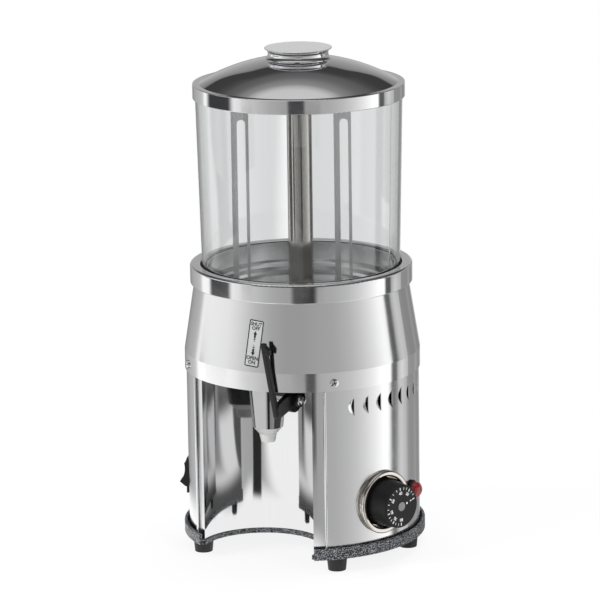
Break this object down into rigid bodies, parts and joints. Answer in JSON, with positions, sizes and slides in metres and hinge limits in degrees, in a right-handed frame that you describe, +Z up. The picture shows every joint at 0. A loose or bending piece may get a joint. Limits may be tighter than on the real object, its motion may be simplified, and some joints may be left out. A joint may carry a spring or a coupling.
{
  "type": "hot drink dispenser",
  "caption": "Round stainless countertop dispenser: clear stirred bowl on a heated pan, domed lid, lever tap over a half-round cup bay, side thermostat.",
  "frame": {"origin": "on the body's vertical axis, at the table under the feet", "axes": "+Z up along the body's axis, -Y to the front where the cup bay opens, +X to the side with the thermostat"},
  "size_m": [0.2805, 0.2745, 0.5405],
  "materials": {
    "hammered_grey": "dark grey hammertone enamel, semi-gloss",
    "black_rubber": "plain matt rubber",
    "satin_steel": "satin stainless sheet, fine brushing round the body",
    "mirror_steel": "polished stainless sheet",
    "polished_chrome": "polished chrome",
    "plain_steel": "plain stainless",
    "zinc_steel": "zinc-plated steel",
    "heater_alloy": "dull oxidised heater sheath",
    "white_polymer": "natural white food-grade plastic",
    "brass_nut": "plain brass",
    "copper_bulb": "plain copper",
    "motor_grey": "painted motor and gear case",
    "warm_nickel": "nickel-plated ring",
    "black_moulding": "black moulded plastic, fine grain",
    "red_lens": "red clear plastic",
    "label_film": "silver-white printed film",
    "ivory_plastic": "ivory moulded plastic",
    "clear_bowl": "clear plastic"
  },
  "bodies": {
    "housing": {"base_casting": "hammered_grey", "rubber_feet": "black_rubber", "foot_screws": "zinc_steel", "tie_posts": "zinc_steel", "bay_liner": "mirror_steel", "deck_plate": "plain_steel", "outer_shell": "satin_steel", "shoulder_cover": "satin_steel", "shoulder_screws": "polished_chrome", "collar_ring": "polished_chrome", "water_tank": "plain_steel", "heating_element": "heater_alloy", "heating_pan": "plain_steel", "seat_ring": "plain_steel", "column_tube": "plain_steel", "lower_bush": "white_polymer", "upper_bush": "white_polymer", "outlet_tube": "plain_steel", "bowl_gasket": "black_rubber", "gear_motor": "motor_grey", "motor_screws": "zinc_steel", "tap_body": "polished_chrome", "tap_nut": "brass_nut", "nozzle": "white_polymer", "plug_stop_screw": "zinc_steel", "thermostat_bezel": "warm_nickel", "thermostat_body": "black_moulding", "thermostat_bulb": "copper_bulb", "pilot_bezel": "black_moulding", "pilot_lens": "red_lens", "switch_frame": "black_moulding", "tap_label": "label_film", "terminal_block": "ivory_plastic", "cable_gland": "black_moulding", "gland_nut": "black_moulding"},
    "bowl": {"bowl": "clear_bowl"},
    "lid": {"lid_rim": "polished_chrome", "lid_dome": "mirror_steel", "lid_knob": "polished_chrome", "lid_knob_screw": "zinc_steel"},
    "agitator": {"drive_shaft": "plain_steel", "agitator_tube": "plain_steel", "agitator_cap": "plain_steel", "cross_arm": "plain_steel", "wide_paddle": "plain_steel", "near_paddle": "plain_steel"},
    "lever": {"tap_lever": "black_moulding", "valve_plug": "plain_steel", "plug_seals": "black_rubber", "lever_screw": "polished_chrome"},
    "thermostat": {"thermostat_knob": "black_moulding", "thermostat_shaft": "zinc_steel", "knob_cap": "zinc_steel"},
    "rocker": {"switch_rocker": "black_moulding"}
  },
  "joints": [
    {"name": "bowl_lift", "type": "slide", "parent": "housing", "child": "bowl", "axis": [0, 0, 1], "range_m": [0, 0.215]},
    {"name": "lid_lift", "type": "slide", "parent": "bowl", "child": "lid", "axis": [0, 0, 1], "range_m": [0, 0.12]},
    {"name": "agitator_spin", "type": "hinge", "parent": "housing", "child": "agitator", "pos_m": [0, 0, 0.281], "axis": [0, 0, 1], "continuous": true},
    {"name": "tap_lever_turn", "type": "hinge", "parent": "housing", "child": "lever", "pos_m": [0.02, -0.08, 0.181], "axis": [1, 0, 0], "range_deg": [0, 70]},
    {"name": "thermostat_turn", "type": "hinge", "parent": "housing", "child": "thermostat", "pos_m": [0.11699, -0.04258, 0.0687], "axis": [0.9397, -0.342, 0], "range_deg": [-175, 70]},
    {"name": "switch_rock", "type": "hinge", "parent": "housing", "child": "rocker", "pos_m": [-0.11516, -0.04192, 0.0725], "axis": [0.342, -0.9397, 0], "range_deg": [0, 28]}
  ]
}
